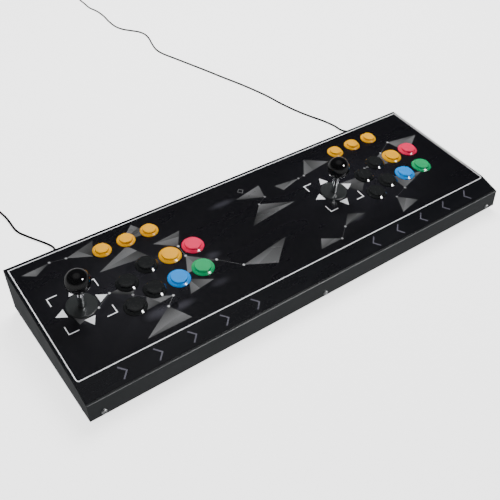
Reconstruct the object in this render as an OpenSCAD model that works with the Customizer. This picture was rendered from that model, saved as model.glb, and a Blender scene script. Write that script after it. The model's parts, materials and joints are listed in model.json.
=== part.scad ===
// Two-player arcade control console.
// A low wedge-shaped steel case carries two eight-way sticks, sixteen 30 mm buttons,
// six 24 mm buttons and two cable leads.
// X is to the right, Y to the back, Z up. The origin is on the floor, at the middle of the case.

/* [Case] */
// Overall width of the case
case_w = 750; // [740:5:800]
// Overall depth of the case
case_d = 250; // [246:2:270]
// Height of the front face
front_h = 29; // [27:1:34]
// Depth of the bevel between the front face and the panel
bevel_run = 33; // [31:1:36]
// Height that the bevel gains
bevel_rise = 12.5; // [11:0.5:15]
// Height of the back wall
back_h = 72.5; // [71:0.5:80]
// Outside radius of the two folds
fold_r = 2.5; // [2:0.5:3]
// Thickness of the case's sheet steel
sheet = 1.5; // [1.2:0.1:1.5]
// Thickness of the base plate
base_t = 1.2; // [1:0.1:1.5]
// Height of the base plate's upturned edge
base_edge = 12; // [11:1:14]
// Height of the rubber feet
foot_h = 8; // [6:1:12]

/* [Overlay] */
// Thickness of the printed overlay
overlay_t = 0.8; // [0.4:0.1:0.8]
// Bare steel left at each side of the overlay
overlay_gap = 1; // [0.5:0.5:2]

/* [Layout] */
// Distance from the left side to the first stick
stick_inset = 62; // [60:1:66]
// Distance between the two sticks
player_pitch = 442; // [438:1:444]
// Distance from the crease to the sticks, along the panel
stick_v = 102; // [100:1:104]

/* [Sticks] */
// Diameter of a ball top
ball_d = 35; // [33:1:36]
// Height of a ball top's centre above the panel
ball_h = 50; // [48:1:54]
// Diameter of a stick's shaft
shaft_d = 9.5; // [9:0.1:9.5]
// Diameter of a dust washer
washer_d = 43; // [40:1:46]
// How far a stick leans each way
stick_tilt = 8.5; // [6:0.5:8.5]

/* [Buttons] */
// Diameter of a large button's rim
big_rim_d = 33.4; // [33:0.1:34]
// Diameter of a large button's bore
big_bore_d = 25; // [24.6:0.1:25.4]
// Diameter of a small button's rim
small_rim_d = 27.6; // [27:0.1:28]
// Diameter of a small button's bore
small_bore_d = 20; // [19.6:0.1:20.2]
// Height of a plunger's top above the panel
plunger_top = 7.2; // [7:0.1:8]
// Travel of a plunger
travel = 3; // [2:0.5:3]

/* [Leads] */
// Diameter of the leads
lead_d = 4; // [4:0.1:4.2]
// Length of the tapered strain relief outside the case
relief_len = 23; // [23:1:23]

/* [Hidden] */

round_fn = 72;
ball_fn = 96;
eps = 0.01;
run_gap = 0.08;          // radial clearance of parts that slide or turn in a bore

// Side outline of the case, in Y and Z, from the bottom of the front to the bottom of the back
y_front = -case_d / 2;
y_back = case_d / 2;
z_base = foot_h;
y_crease = y_front + bevel_run;
z_crease = z_base + front_h + bevel_rise;
outline = [
  [y_front, z_base], [y_front, z_base + front_h], [y_crease, z_crease],
  [y_back, z_base + back_h], [y_back, z_base]
];
slope = atan2(outline[3][1] - z_crease, y_back - y_crease);

// Each stick's place on the panel, and the buttons' places from the stick
stick_u = [-case_w / 2 + stick_inset, -case_w / 2 + stick_inset + player_pitch];
menu_at = [[69, 77], [107.5, 77], [146, 77]];
black_at = [[69.5, 4], [109, 19.5], [59, -38.5], [96, -26]];
yellow_at = [146, 17];
red_at = [184.5, 17];
blue_at = [134, -27.5];
green_at = [173.5, -27.5];
big_at = concat(black_at, [yellow_at, red_at, blue_at, green_at]);

// Heights of the pieces, measured square to the panel's steel surface
big_barrel_r = 14.8;
small_barrel_r = 11.8;
barrel_bottom = -22;
cap_t = 2;
stem_r = 4;
switch_top = barrel_bottom - 4;
switch_size = [20, 6.4, 10];
plate_top = -5.5;
plate_t = 1.6;
plate_size = [96, 52];
plate_bolt = [40, 18];
pivot_h = -16;
pivot_r = 11;
seat_r = pivot_r + run_gap;
cup_bottom = -30.6;
neck_top = -23.2;
neck_bottom = -24.5;
shoulder_h = -33.5;
actuator_end = -40.5;
shaft_end = -48;
board_top = -41;
board_t = 1.6;
gate_top = -43.5;
gate_t = 3;
shaft_r = shaft_d / 2;
tail_r = 4;
gate_half = (pivot_h - gate_top + gate_t) * sin(stick_tilt) + tail_r + 0.2;
neck_thread = ball_h - 16.6;

// Screws
screw_r = 2;
screw_len = 4.7;
face_screw_x = [-case_w / 2 + 20, 0, case_w / 2 - 20];
face_screw_z = z_base + 6;

// Feet, encoder boards and lead exits
foot_x = case_w / 2 - 12;
foot_y = [y_front + 27, y_back - 13];
encoder_at = [[-290, 85], [290, 85]];
exit_x = [-288, 340];
exit_z = 38;

// Each lead's route along its middle, chosen point by point
left_route = [
  [-288, 148, 38], [-288, 156, 37.5], [-287, 166, 35.5], [-285, 178, 31], [-282, 191, 24.5],
  [-278, 204, 17], [-275, 217, 9.5], [-274, 230, 4], [-277, 243, 2], [-283, 256, 2],
  [-290, 270, 2], [-296, 283, 2], [-302, 297, 2], [-305, 312, 2], [-305, 330, 2],
  [-305, 350, 2], [-307, 370, 2], [-311, 395, 2], [-316, 425, 2], [-321, 455, 2]
];
right_route = [
  [340, 148, 38], [340, 157, 37.5], [340, 168, 34.5], [340, 180, 28.5], [341, 193, 20.5],
  [342, 206, 12.5], [344, 219, 7], [347, 234, 3], [349, 250, 2], [347, 269, 2],
  [343, 288, 2], [337, 309, 2], [331, 334, 2], [326, 363, 2], [322, 400, 2],
  [320, 440, 2], [314, 485, 2], [306, 530, 2], [295, 580, 2], [284, 635, 2],
  [272, 690, 2], [261, 740, 2], [252, 782, 2], [252, 814, 2], [261, 850, 2], [272, 885, 2],
  [277, 915, 2], [273, 940, 2], [260, 962, 2], [247, 985, 2], [241, 1015, 2],
  [244, 1060, 2], [250, 1100, 2], [252, 1145, 2], [247, 1185, 2], [250, 1220, 2],
  [252, 1250, 2], [256, 1285, 2], [260, 1319, 2]
];
left_coil_at = [-352, 446];
right_coil_at = [288, 1316];
coil_mid_r = 22;

// ---------- helpers ----------

function unit(a) = a / norm(a);

// A list of points around an arc of radius r that rounds the corner p between a and b
function fold(a, p, b, r, n = 4) =
  let (
    u = unit(a - p),
    w = unit(b - p),
    half = acos(u * w) / 2,
    c = p + unit(u + w) * r / sin(half),
    s = p + u * r / tan(half) - c,
    e = p + w * r / tan(half) - c,
    a0 = atan2(s[1], s[0]),
    turn = (atan2(e[1], e[0]) - a0 + 540) % 360 - 180
  )
  [for (i = [0:n]) c + r * [cos(a0 + turn * i / n), sin(a0 + turn * i / n)]];

// The normal of a run of the outline, pointing into the case
function inward(a, b) = let (d = unit(b - a)) [d[1], -d[0]];

// An open outline moved into the case by d
function inset(pts, d) = [
  for (i = [0:len(pts) - 1])
    let (
      before = i == 0 ? inward(pts[0], pts[1]) : inward(pts[i - 1], pts[i]),
      after = i == len(pts) - 1 ? before : inward(pts[i], pts[i + 1])
    )
    pts[i] + d * (before + after) / (1 + before * after)
];

// The outline with its two folds rounded
function folded(pts, r) = concat(
  [pts[0]],
  fold(pts[0], pts[1], pts[2], r),
  [pts[2]],
  fold(pts[2], pts[3], pts[4], r),
  [pts[4]]
);

// Extrudes an outline in Y and Z across the case
module across(width)
  rotate([90, 0, 90]) linear_extrude(width, center = true) children();

// Puts its children on the panel: u to the right, v up the slope, h square to the steel
module on_panel(u, v, h = 0)
  translate([0, y_crease, z_crease]) rotate([slope, 0, 0]) translate([u, v, h]) children();

module at_stick(p) on_panel(stick_u[p], stick_v) children();

module at_both() for (p = [0, 1]) at_stick(p) children();

module at_button(p, d) on_panel(stick_u[p] + d[0], stick_v + d[1]) children();

// A ring or a disc between two heights
module tube(low, high, r_out, r_in = 0, fn = round_fn)
  difference() {
    translate([0, 0, low]) cylinder(h = high - low, r = r_out, $fn = fn);
    if (r_in > 0)
      translate([0, 0, low - eps]) cylinder(h = high - low + 2 * eps, r = r_in, $fn = fn);
  }

module block(size, low, high)
  translate([-size[0] / 2, -size[1] / 2, low]) cube([size[0], size[1], high - low]);

// A straight wire between two points, with ten sides
module wire(a, b, r)
  let (d = b - a)
  translate(a) rotate([0, acos(d[2] / norm(d)), atan2(d[1], d[0])])
    cylinder(h = norm(d), r = r, $fn = 10);

module wires(pts, r) {
  for (i = [1:len(pts) - 1])
    wire(pts[i - 1], pts[i], r);
  for (i = [1:1:len(pts) - 2])
    translate(pts[i]) sphere(r = r * 1.12, $fn = 10);
}

// One polyhedron swept along a list of points
module swept(pts, r, sides) {
  count = len(pts);
  dirs = [for (i = [0:count - 1]) unit(pts[min(i + 1, count - 1)] - pts[max(i - 1, 0)])];
  across_dirs = [for (d = dirs) unit(cross([0, 0, 1], d))];
  points = [
    for (i = [0:count - 1], k = [0:sides - 1])
      pts[i] + r * (cos(360 * k / sides) * across_dirs[i]
        + sin(360 * k / sides) * cross(dirs[i], across_dirs[i]))
  ];
  faces = concat(
    [[for (k = [0:sides - 1]) k]],
    [
      for (i = [0:count - 2], k = [0:sides - 1])
        let (a = i * sides + k, b = i * sides + (k + 1) % sides)
        [a, a + sides, b + sides, b]
    ],
    [[for (k = [sides - 1:-1:0]) (count - 1) * sides + k]]
  );
  polyhedron(points, faces);
}

// A point on the smooth curve through the route, at t counted in route points
function at(pts, i) = pts[min(max(i, 0), len(pts) - 1)];
function along(pts, t) =
  let (
    i = min(floor(t), len(pts) - 2),
    s = t - i,
    a = at(pts, i - 1),
    b = at(pts, i),
    c = at(pts, i + 1),
    d = at(pts, i + 2)
  )
  b + 0.5 * s * (c - a + s * (2 * a - 5 * b + 4 * c - d + s * (3 * (b - c) + d - a)));
function smooth(pts, rings) = [
  for (i = [0:rings]) along(pts, (len(pts) - 1) * i / rings)
];

// ---------- case ----------

module button_holes(big_r, small_r, stick_r)
  for (p = [0, 1]) {
    for (d = big_at)
      at_button(p, d) tube(-4, 4, big_r);
    for (d = menu_at)
      at_button(p, d) tube(-4, 4, small_r);
    at_stick(p) tube(-4, 4, stick_r);
  }

module at_face_screws()
  for (x = face_screw_x) {
    translate([x, y_front, face_screw_z]) rotate([90, 0, 0]) children();
    translate([x, y_back, face_screw_z]) rotate([-90, 0, 0]) children();
  }

module at_plate_bolts()
  for (x = [-1, 1], y = [-1, 1])
    translate([x * plate_bolt[0], y * plate_bolt[1], 0]) children();

module weld_bosses()
  at_both() at_plate_bolts() tube(plate_top, -sheet + 0.3, 4.5, fn = 36);

module case_shell()
  color("#252a2c") difference() {
    union() {
      difference() {
        across(case_w) polygon(folded(outline, fold_r));
        translate([0, 0, -eps])
          across(case_w - 2 * sheet) polygon(folded(inset(outline, sheet), fold_r - sheet));
      }
      weld_bosses();
    }
    button_holes(15.1, 12.1, 10);
    at_both() at_plate_bolts() tube(plate_top - eps, -2.3, screw_r + 0.02, fn = 36);
    at_face_screws() tube(-3, 3, 2.15, fn = 36);
    for (x = exit_x)
      translate([x, y_back, exit_z]) rotate([-90, 0, 0]) tube(-4, 4, 5, fn = 36);
  }

module vent_slot(length, width)
  union() {
    translate([-length / 2, -width / 2, 0]) cube([length, width, 6]);
    for (s = [-1, 1])
      translate([s * length / 2, 0, 0]) cylinder(h = 6, d = width - 0.02, $fn = 36);
  }

module base_plate()
  color("#1d2022") difference() {
    translate([-case_w / 2 + sheet + 0.3, y_front + sheet, z_base])
      cube([case_w - 2 * sheet - 0.6, case_d - 2 * sheet, base_edge]);
    translate([-case_w / 2 + sheet + 0.3 + base_t, y_front + sheet + base_t, z_base + base_t])
      cube([case_w - 2 * (sheet + 0.3 + base_t), case_d - 2 * (sheet + base_t), base_edge]);
    for (s = [-1, 1], i = [-2:2])
      translate([s * 60 + (s < 0 ? -60 : 60), i * 14, z_base - 2]) vent_slot(44, 4);
    at_face_screws() tube(-6, 3, screw_r + 0.02, fn = 36);
    for (x = [-1, 1], y = foot_y)
      translate([x * foot_x, y, z_base]) tube(-2, 4, 3, fn = 36);
  }

// The overlay follows the bevel and the panel, bent at the crease
module panel_overlay() {
  bevel_start = outline[1] + unit(outline[2] - outline[1]) * 3.2;
  panel_end = outline[3] - unit(outline[3] - outline[2]) * 3.2;
  under = [bevel_start, outline[2], panel_end];
  over = inset(under, -overlay_t);
  color("#14171a") difference() {
    across(case_w - 2 * overlay_gap) polygon(concat(under, [over[2], over[1], over[0]]));
    button_holes(15.4, 12.4, 10);
  }
}

// A pan-head screw with a cross recess, its head standing on h = 0
module screw()
  difference() {
    rotate_extrude($fn = 36)
      polygon([
        [0, -screw_len], [screw_r, -screw_len], [screw_r, 0], [4, 0],
        [4, 1.1], [3.4, 2], [2, 2.5], [0, 2.5]
      ]);
    for (a = [0, 90])
      rotate([0, 0, a]) translate([-1.9, -0.45, 1.1]) cube([3.8, 0.9, 2]);
  }

module machine_screws()
  color("#c9cbcc") {
    at_face_screws() screw();
    at_both() at_plate_bolts()
      translate([0, 0, plate_top - plate_t]) rotate([180, 0, 0]) screw();
  }

// Push-in foot: tapered rubber with a hollow underside and a barbed stem
module rubber_feet()
  color("#161616")
    for (x = [-1, 1], y = foot_y)
      translate([x * foot_x, y, 0]) rotate_extrude($fn = 48)
        polygon([
          [0, 3], [4, 3], [4, 0], [10, 0], [11, 1], [10.2, foot_h], [2.95, foot_h],
          [2.95, foot_h + base_t], [3.8, foot_h + base_t], [3.1, foot_h + base_t + 2],
          [0, foot_h + base_t + 2]
        ]);

// ---------- buttons ----------

// Rim, barrel with a bored cap, two snap tabs and two legs that clip a microswitch
module housing(rim_r, barrel_r, bore_r, rim_top) {
  leg_in = switch_size[0] / 2;
  leg_out = leg_in + 1.5;
  leg_w = switch_size[1];
  hook = switch_top - switch_size[2];
  rotate_extrude($fn = round_fn)
    polygon([
      [bore_r, barrel_bottom + cap_t], [bore_r, rim_top], [bore_r + 1.3, rim_top],
      [rim_r - 0.3, overlay_t + 1.3], [rim_r, overlay_t + 0.8], [rim_r, overlay_t],
      [barrel_r, overlay_t], [barrel_r, barrel_bottom], [stem_r + run_gap, barrel_bottom],
      [stem_r + run_gap, barrel_bottom + cap_t]
    ]);
  for (s = [0, 180])
    rotate([0, 0, s]) {
      translate([barrel_r - 0.5, -2.5, -sheet - 3]) cube([1.9, 5, 3]);
      translate([leg_in, -leg_w / 2, hook]) cube([leg_out - leg_in, leg_w, barrel_bottom - hook + 0.4]);
      translate([8.8, -leg_w / 2, hook - 1.2]) cube([leg_out - 8.8, leg_w, 1.2]);
    }
}

module big_housings(places)
  for (p = [0, 1], d = places)
    at_button(p, d) housing(big_rim_d / 2, big_barrel_r, big_bore_d / 2, overlay_t + 3.4);

module menu_button_housings()
  color("#f0ad1e")
    for (p = [0, 1], d = menu_at)
      at_button(p, d) housing(small_rim_d / 2, small_barrel_r, small_bore_d / 2, overlay_t + 3);
module black_button_housings() color("#131313") big_housings(black_at);
module yellow_button_housings() color("#f0ad1e") big_housings([yellow_at]);
module red_button_housings() color("#ef3b5d") big_housings([red_at]);
module blue_button_housings() color("#1e8fe6") big_housings([blue_at]);
module green_button_housings() color("#27a163") big_housings([green_at]);

// A capped sleeve with a stem that reaches the microswitch
module plunger(p, d, bore_r) {
  r = bore_r - run_gap;
  top = plunger_top;
  at_button(p, d) rotate_extrude($fn = round_fn)
    polygon([
      [0, top], [r * 0.6, top - 0.15], [r - 1, top - 0.45], [r - 0.3, top - 0.9],
      [r, top - 1.6], [r, -12], [r - 1.6, -12], [r - 1.6, top - 2.6], [stem_r, top - 2.6],
      [stem_r, barrel_bottom + 0.5], [0, barrel_bottom + 0.5]
    ]);
}

module menu_plunger(p, i) color("#f5b52a") plunger(p, menu_at[i], small_bore_d / 2);
module black_plunger(p, i) color("#101010") plunger(p, black_at[i], big_bore_d / 2);
module yellow_plunger(p) color("#f5b52a") plunger(p, yellow_at, big_bore_d / 2);
module red_plunger(p) color("#f3496b") plunger(p, red_at, big_bore_d / 2);
module blue_plunger(p) color("#2b9bee") plunger(p, blue_at, big_bore_d / 2);
module green_plunger(p) color("#2fae6e") plunger(p, green_at, big_bore_d / 2);

// ---------- sticks ----------

module ball_top(p)
  color("#0e0e0e") at_stick(p) difference() {
    translate([0, 0, ball_h]) sphere(d = ball_d, $fn = ball_fn);
    tube(ball_h - ball_d, neck_thread, ball_d);
    tube(neck_thread - 1, ball_h + 0.5, 3.05, fn = 36);
  }

// Shaft with a threaded neck, a cross pin at the pivot and a thin lower tail
module stick_shaft(p)
  color("#cfd3d6") at_stick(p) union() {
    tube(shoulder_h, neck_thread, shaft_r);
    tube(neck_thread - 0.5, ball_h, 3, fn = 36);
    tube(shaft_end, shoulder_h + 0.5, tail_r);
    tube(actuator_end - 0.8, actuator_end, 5.5, fn = 36);
    translate([0, 0, pivot_h]) rotate([0, 90, 0]) tube(-10.2, 10.2, 1.5, fn = 36);
  }

module actuator(p)
  color("#e8e6df") at_stick(p) difference() {
    union() {
      tube(shoulder_h - 1.5, shoulder_h, 11);
      tube(actuator_end, shoulder_h - 1, 7.8);
    }
    tube(actuator_end - 1, shoulder_h + 1, tail_r + 0.02);
  }

// Truncated ball: slotted for the shaft to lean fore and aft on its cross pin
module pivot_ball(p)
  color("#f0efe9") at_stick(p) difference() {
    translate([0, 0, pivot_h]) sphere(r = pivot_r, $fn = round_fn);
    tube(pivot_h + 7, pivot_h + 20, 20);
    tube(pivot_h - 20, pivot_h - 7, 20);
    block([shaft_d + 0.1, 12], pivot_h - 12, pivot_h + 12);
    translate([0, 0, pivot_h]) rotate([0, 90, 0]) tube(-15, 15, 1.56, fn = 36);
  }

module dust_washer(p)
  color("#101010") at_stick(p) rotate_extrude($fn = round_fn)
    polygon([
      [5.2, 0.95], [washer_d / 2, 0.95], [washer_d / 2, 1.75],
      [washer_d / 2 - 0.8, 2.35], [5.2, 2.35]
    ]);

// Lower washer on the mounting plate, with a hole that lets the shaft lean
module inner_washer(p)
  color("#101010") at_stick(p) difference() {
    tube(plate_top + 0.1, plate_top + 1.3, 17);
    block([12.6, 13.6], plate_top - 1, plate_top + 3);
  }

module stick_plates()
  color("#b8bbbd") at_both() difference() {
    block(plate_size, plate_top - plate_t, plate_top);
    tube(plate_top - 4, plate_top + 1, 9.5);
    at_plate_bolts() tube(plate_top - 4, plate_top + 1, 2.15, fn = 36);
  }

// Cup with a ball seat, a neck, a spring well and four corner posts
module stick_housings() {
  top = plate_top - plate_t;
  color("#1a1a1a") at_both() difference() {
    union() {
      block([62, 62], top - 4, top);
      tube(cup_bottom, top - 3.5, 15.5);
      for (x = [-1, 1], y = [-1, 1])
        translate([26 * x, 26 * y, 0]) tube(board_top, top - 3.5, 3.2, fn = 36);
    }
    translate([0, 0, pivot_h]) sphere(r = seat_r, $fn = round_fn);
    tube(pivot_h, top + 1, seat_r);
    tube(neck_bottom - 1, neck_top, 8.5);
    tube(cup_bottom - 1, neck_bottom, 13);
  }
}

// Coil spring in the well, standing clear of the leaning actuator
module stick_springs() {
  turns = 3.2;
  wire_r = 0.6;
  rise = neck_bottom - cup_bottom - 2 * wire_r - 0.1;
  helix = [
    for (i = [0:1:turns * 16])
      [9 * cos(i * 22.5), 9 * sin(i * 22.5), neck_bottom - wire_r - rise * i / (turns * 16)]
  ];
  color("#9a9c9e") at_both() swept(helix, wire_r, 8);
}

module stick_gates()
  color("#202020") at_both() difference() {
    union() {
      block([60, 60], gate_top - gate_t, gate_top);
      for (x = [-1, 1], y = [-1, 1])
        translate([26 * x, 26 * y, 0]) tube(gate_top - 1, board_top - board_t, 3.2, fn = 36);
    }
    block([2 * gate_half, 2 * gate_half], gate_top - gate_t - 1, gate_top + 1);
  }

module switch_boards()
  color("#1f6b3a") at_both() difference() {
    block([60, 60], board_top - board_t, board_top);
    tube(board_top - 4, board_top + 1, 13);
  }

// Snap-action switch: its top face on h = 0, its button above, its blades below
module microswitch()
  difference() {
    union() {
      block([switch_size[0], switch_size[1]], -switch_size[2], 0);
      block([3, 2], -1, 1);
      for (x = [-6, 0, 6])
        translate([x, 0, 0]) block([3.2, 0.6], -switch_size[2] - 4, -switch_size[2] + 1);
    }
    for (x = [-4.8, 4.8])
      translate([x, 0, -5]) rotate([90, 0, 0]) tube(-5, 5, 1.2, fn = 24);
  }

module microswitches()
  color("#222222")
    for (p = [0, 1]) {
      for (d = concat(big_at, menu_at))
        at_button(p, d) translate([0, 0, switch_top]) microswitch();
      at_stick(p)
        for (a = [0:90:270])
          rotate([0, 0, a]) translate([12.4, 0, board_top + switch_size[1] / 2])
            rotate([0, -90, 0]) rotate([0, 0, 90]) microswitch();
    }

// ---------- electronics ----------

// Circuit board on four posts, with a chip, pin headers and a lead socket
module encoder_board() {
  low = z_base + base_t;
  for (x = [-30, 30], y = [-20, 20])
    translate([x, y, 0]) tube(low, low + 5, 2.6, fn = 24);
  block([70, 50], low + 5, low + 6.6);
  translate([-4, 0, 0]) block([14, 14], low + 6.6, low + 8.4);
  for (y = [-20, 20])
    translate([0, y, 0]) block([46, 5], low + 6.6, low + 13);
  translate([22, 0, 0]) block([9, 12], low + 6.6, low + 12);
}

module encoder_boards()
  color("#1d5f38") for (b = encoder_at) translate([b[0], b[1], 0]) encoder_board();

// A point beside a stick, from panel distances to the case's frame
function panel_point(p, du, dv, h) =
  let (v = stick_v + dv)
  [
    stick_u[p] + du,
    y_crease + v * cos(slope) - h * sin(slope),
    z_crease + v * sin(slope) + h * cos(slope)
  ];

// Trunk under each button field, a branch to every switch, and the runs to board and relief
module wiring_harness() {
  trunk_v = -6;
  trunk_h = -44.5;
  blade_end = switch_top - switch_size[2] - 4;
  low = z_base + base_t + 6.6;
  color("#171717") for (p = [0, 1]) {
    board = encoder_at[p];
    wires([panel_point(p, 45, trunk_v, trunk_h), panel_point(p, 186, trunk_v, trunk_h)], 3.5);
    for (d = concat(big_at, menu_at))
      wires([
        panel_point(p, d[0], trunk_v, trunk_h),
        panel_point(p, d[0], d[1], trunk_h),
        panel_point(p, d[0], d[1], blade_end)
      ], 1.3);
    wires([
      panel_point(p, 30, trunk_v, board_top - board_t / 2),
      panel_point(p, 37, trunk_v, board_top - board_t / 2),
      panel_point(p, 50, trunk_v, trunk_h)
    ], 0.75);
    tap = panel_point(p, p == 0 ? 50 : 150, trunk_v, trunk_h);
    wires([tap, [tap[0], 45, low + 3.2], [board[0] + 10, 62.5 - 5, low + 3.2],
      [board[0] + 10, board[1] - 25.2, low + 3.2]], 2.6);
    wires([[board[0] + 22, board[1], low + 7.4], [exit_x[p], board[1] + 14, low + 10],
      [exit_x[p], y_back - 10, exit_z], [exit_x[p], y_back - 4.5, exit_z]], 1.9);
  }
}

// ---------- leads ----------

// Grommet through the back wall that tapers along the lead
module cord_reliefs()
  color("#131313")
    for (x = exit_x)
      translate([x, y_back, exit_z]) rotate([-90, 0, 0]) rotate_extrude($fn = 48)
        polygon([
          [0, -4.5], [6.5, -4.5], [6.5, -sheet], [4.95, -sheet], [4.95, 0], [6.5, 0],
          [6.5, 2.5], [4.5, 3], [lead_d / 2 + 0.75, relief_len], [0, relief_len]
        ]);

module left_cord() color("#111111") swept(smooth(left_route, 25), lead_d / 2, 8);
module right_cord() color("#111111") swept(smooth(right_route, 54), lead_d / 2, 8);

// The outer shape of a bundle of turns: so many side by side, so many high
module coil(wide, high) {
  half = wide * lead_d / 2;
  top = high * lead_d;
  rotate_extrude($fn = round_fn)
    polygon([
      [coil_mid_r - half, 1], [coil_mid_r - half + 1, 0], [coil_mid_r + half - 1, 0],
      [coil_mid_r + half, 1], [coil_mid_r + half, top - 1], [coil_mid_r + half - 1, top],
      [coil_mid_r - half + 1, top], [coil_mid_r - half, top - 1]
    ]);
}

module left_coil() color("#111111") translate(left_coil_at) coil(4, 3);
module right_coil() color("#111111") translate(right_coil_at) coil(2, 2);

// A flat moulded plug with a tapered tail and a steel tongue, along +Y from the tail's end
module usb_plug() {
  tail = 18;
  translate([0, 0, 4]) rotate([-90, 0, 0]) cylinder(h = tail, r1 = 2.5, r2 = 3.6, $fn = 48);
  translate([-7.75, tail, 0.1]) cube([15.5, 24, 7.8]);
  translate([-6, tail + 24, 1.75]) cube([12, 14, 4.5]);
}

// Each plug touches its coil where the last turn runs out of it
module plug_at(place, wide, place_angle, heading)
  translate(place) rotate([0, 0, place_angle]) translate([coil_mid_r + wide * lead_d / 2 + 2.6, 0, 0])
    rotate([0, 0, heading]) usb_plug();

module left_plug() color("#151515") plug_at(left_coil_at, 4, 180, 0);
module right_plug() color("#151515") plug_at(right_coil_at, 2, 90, 180);

// ---------- nodes ----------

case_shell();
base_plate();
panel_overlay();
machine_screws();
rubber_feet();
menu_button_housings();
black_button_housings();
yellow_button_housings();
red_button_housings();
blue_button_housings();
green_button_housings();
menu_plunger(0, 0);  // p1_menu_plunger_1
menu_plunger(0, 1);  // p1_menu_plunger_2
menu_plunger(0, 2);  // p1_menu_plunger_3
black_plunger(0, 0);  // p1_black_plunger_1
black_plunger(0, 1);  // p1_black_plunger_2
black_plunger(0, 2);  // p1_black_plunger_3
black_plunger(0, 3);  // p1_black_plunger_4
yellow_plunger(0);  // p1_yellow_plunger
red_plunger(0);  // p1_red_plunger
blue_plunger(0);  // p1_blue_plunger
green_plunger(0);  // p1_green_plunger
menu_plunger(1, 0);  // p2_menu_plunger_1
menu_plunger(1, 1);  // p2_menu_plunger_2
menu_plunger(1, 2);  // p2_menu_plunger_3
black_plunger(1, 0);  // p2_black_plunger_1
black_plunger(1, 1);  // p2_black_plunger_2
black_plunger(1, 2);  // p2_black_plunger_3
black_plunger(1, 3);  // p2_black_plunger_4
yellow_plunger(1);  // p2_yellow_plunger
red_plunger(1);  // p2_red_plunger
blue_plunger(1);  // p2_blue_plunger
green_plunger(1);  // p2_green_plunger
ball_top(0);  // p1_ball_top
stick_shaft(0);  // p1_stick_shaft
actuator(0);  // p1_actuator
pivot_ball(0);  // p1_pivot_ball
dust_washer(0);  // p1_dust_washer
inner_washer(0);  // p1_inner_washer
ball_top(1);  // p2_ball_top
stick_shaft(1);  // p2_stick_shaft
actuator(1);  // p2_actuator
pivot_ball(1);  // p2_pivot_ball
dust_washer(1);  // p2_dust_washer
inner_washer(1);  // p2_inner_washer
stick_plates();
stick_housings();
stick_springs();
stick_gates();
switch_boards();
microswitches();
encoder_boards();
wiring_harness();
cord_reliefs();
left_cord();
left_coil();
left_plug();
right_cord();
right_coil();
right_plug();
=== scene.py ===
"""Looks of the two-player arcade control console: camera, leads, print, buttons, sticks and materials."""
import json
import math
import random

import bmesh
import bpy
from mathutils import Matrix, Vector
from mathutils.geometry import delaunay_2d_cdt


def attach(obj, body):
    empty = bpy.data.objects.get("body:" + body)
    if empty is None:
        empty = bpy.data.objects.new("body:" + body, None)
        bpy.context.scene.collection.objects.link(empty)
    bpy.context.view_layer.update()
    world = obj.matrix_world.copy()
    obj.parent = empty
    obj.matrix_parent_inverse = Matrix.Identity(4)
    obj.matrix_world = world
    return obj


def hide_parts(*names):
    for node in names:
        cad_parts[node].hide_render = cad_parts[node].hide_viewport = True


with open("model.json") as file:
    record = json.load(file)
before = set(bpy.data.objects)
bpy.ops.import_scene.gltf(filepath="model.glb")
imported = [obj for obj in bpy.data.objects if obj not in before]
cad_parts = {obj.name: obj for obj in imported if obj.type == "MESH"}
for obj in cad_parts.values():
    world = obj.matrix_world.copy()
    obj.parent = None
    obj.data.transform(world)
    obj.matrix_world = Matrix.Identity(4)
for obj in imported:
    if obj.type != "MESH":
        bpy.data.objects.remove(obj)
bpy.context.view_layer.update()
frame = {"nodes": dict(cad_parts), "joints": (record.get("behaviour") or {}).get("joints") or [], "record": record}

MM = 0.001
PLAYERS = ("p1", "p2")
JOINTS = {j["name"]: j for j in frame["joints"]}


# ---------- camera ----------

def aim(thing, place, target, roll=0.0):
    """Points a camera or a light from place to target."""
    look = (Vector(target) - Vector(place)).to_track_quat("-Z", "Y")
    thing.rotation_euler = (look.to_matrix() @ Matrix.Rotation(math.radians(roll), 3, "Z")).to_euler()
    thing.location = place


camera = bpy.data.objects.new("camera", bpy.data.cameras.new("camera"))
bpy.context.collection.objects.link(camera)
camera.data.sensor_width = 36
camera.data.lens = 49.14
aim(camera, (-0.50547, -0.65765, 0.69369), (-0.04891, -0.00603, 0.040), roll=-1.223)
bpy.context.scene.camera = camera


# ---------- panel frame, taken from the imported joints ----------

PRESS = Vector(JOINTS["p1_red_press"]["axis"])        # into the panel
OUT = -PRESS                                          # square to the panel
RIGHT = Vector((1, 0, 0))
UP = OUT.cross(RIGHT)                                 # up the slope
PIVOT_DEPTH = 16 * MM
OVERLAY = 0.8                                         # the overlay's top above the steel, in mm


def foot_point(player):
    """The point of the panel's steel surface under a stick's ball."""
    return Vector(JOINTS[player + "_stick_left_right"]["pos_m"]) + OUT * PIVOT_DEPTH


def on_panel(player, u, v, h=0.0):
    """A point beside a stick: u right, v up the slope, h square to the steel, in mm."""
    return foot_point(player) + (RIGHT * u + UP * v + OUT * h) * MM


def panel_matrix(player, u, v, h=0.0):
    m = Matrix((RIGHT, UP, OUT)).transposed().to_4x4()
    m.translation = on_panel(player, u, v, h)
    return m


MENU = [(69, 77), (107.5, 77), (146, 77)]
BLACK = [(69.5, 4), (109, 19.5), (59, -38.5), (96, -26)]
SINGLE = {"yellow": (146, 17), "red": (184.5, 17), "blue": (134, -27.5), "green": (173.5, -27.5)}
BIG = BLACK + list(SINGLE.values())


# ---------- mesh helpers ----------

def new_object(name, mesh):
    o = bpy.data.objects.new(name, mesh)
    bpy.context.collection.objects.link(o)
    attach(o, "case")
    return o


def from_bmesh(name, bm, smooth_deg):
    bmesh.ops.recalc_face_normals(bm, faces=bm.faces)
    mesh = bpy.data.meshes.new(name)
    bm.to_mesh(mesh)
    bm.free()
    mesh.shade_smooth()
    mesh.set_sharp_from_angle(angle=math.radians(smooth_deg))
    return new_object(name, mesh)


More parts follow.
